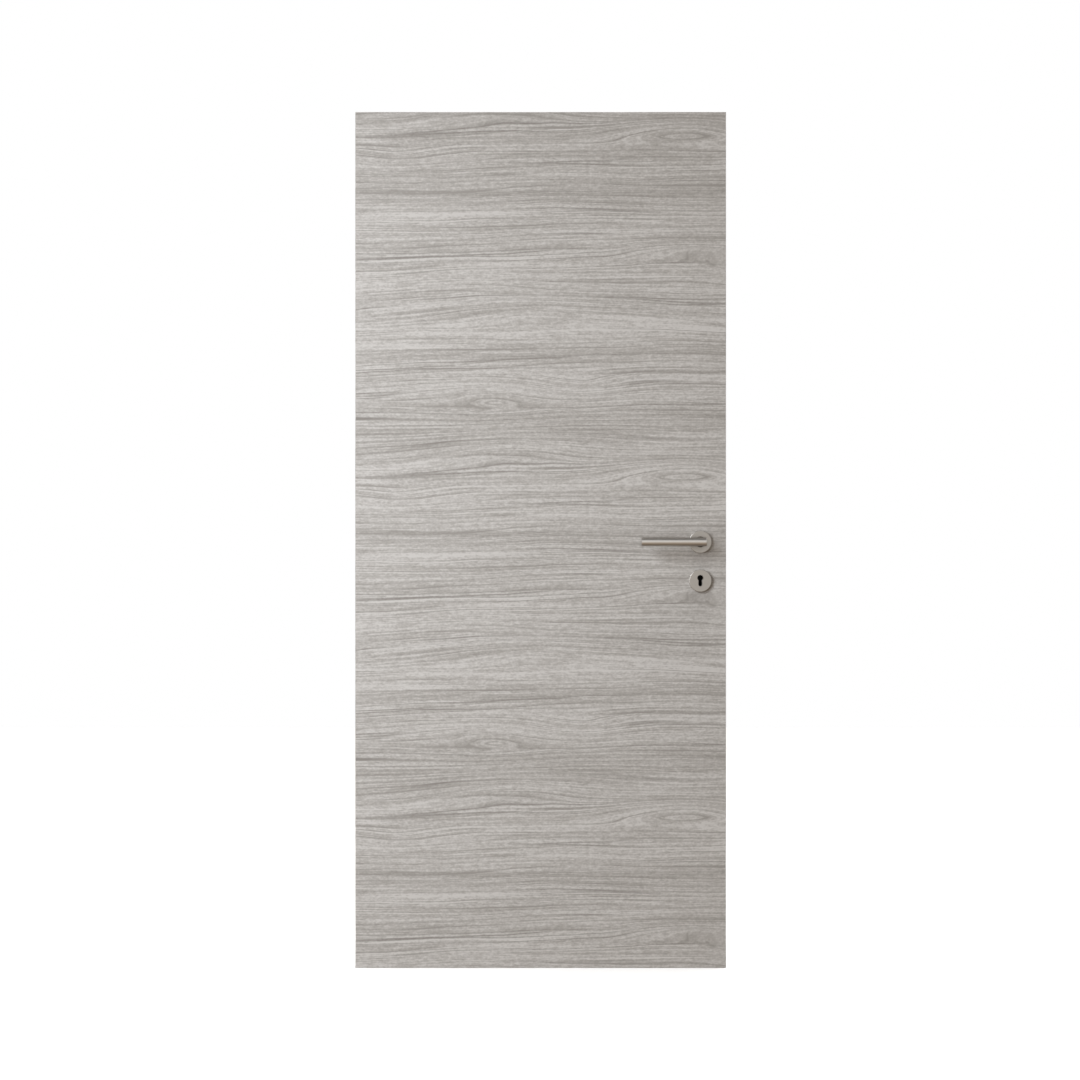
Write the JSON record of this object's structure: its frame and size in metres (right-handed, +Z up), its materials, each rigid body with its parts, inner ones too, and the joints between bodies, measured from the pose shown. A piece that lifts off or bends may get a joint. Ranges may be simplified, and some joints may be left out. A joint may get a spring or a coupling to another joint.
{
  "type": "interior door leaf",
  "caption": "Flush interior door leaf with horizontal grey wood grain, levers on round roses, a key rose each side, a mortice lock and pockets for concealed hinges.",
  "frame": {"origin": "bottom of the hinge edge, at the middle of the leaf's thickness", "axes": "+X from the hinge edge to the lock edge, +Y towards the back face, so the front face that the picture shows looks along -Y, +Z up"},
  "size_m": [0.86, 0.16, 1.985],
  "materials": {
    "wood_decor": "grey horizontal-grain wood decor, satin",
    "softwood": "planed softwood",
    "chipboard": "extruded chipboard",
    "hardwood_block": "glued wood",
    "satin_steel": "satin brushed stainless steel",
    "zinc_steel": "zinc plated steel",
    "dark_bush": "moulded dark plastic",
    "rose_base": "moulded black plastic"
  },
  "bodies": {
    "leaf": {"front_skin": "wood_decor", "back_skin": "wood_decor", "hinge_edge_band": "wood_decor", "lock_edge_band": "wood_decor", "top_edge_band": "wood_decor", "hinge_stile": "softwood", "lock_stile": "softwood", "top_rail": "softwood", "bottom_rail": "softwood", "tubular_core": "chipboard", "upper_core_strip": "chipboard", "lower_core_strip": "chipboard", "lock_block": "hardwood_block", "front_rose": "satin_steel", "front_key_rose": "satin_steel", "back_rose": "satin_steel", "back_key_rose": "satin_steel", "lock_forend": "satin_steel", "lock_case": "zinc_steel", "latch_bolt": "zinc_steel", "dead_bolt": "zinc_steel", "rose_bolts": "zinc_steel", "front_guide_ring": "dark_bush", "back_guide_ring": "dark_bush", "front_rose_base": "rose_base", "back_rose_base": "rose_base", "front_key_rose_base": "rose_base", "back_key_rose_base": "rose_base"},
    "handle": {"spindle": "zinc_steel", "follower": "zinc_steel", "front_lever": "satin_steel", "front_lever_cap": "satin_steel", "front_lever_root_cap": "satin_steel", "front_neck_core": "zinc_steel", "back_lever": "satin_steel", "back_lever_cap": "satin_steel", "back_lever_root_cap": "satin_steel", "back_neck_core": "zinc_steel"}
  },
  "joints": [
    {"name": "handle_turn", "type": "hinge", "parent": "leaf", "child": "handle", "pos_m": [0.8, 0, 0.988], "axis": [0, -1, 0], "range_deg": [0, 38], "stiffness_Nm_per_rad": 1.2, "springref_deg": -34.38}
  ]
}
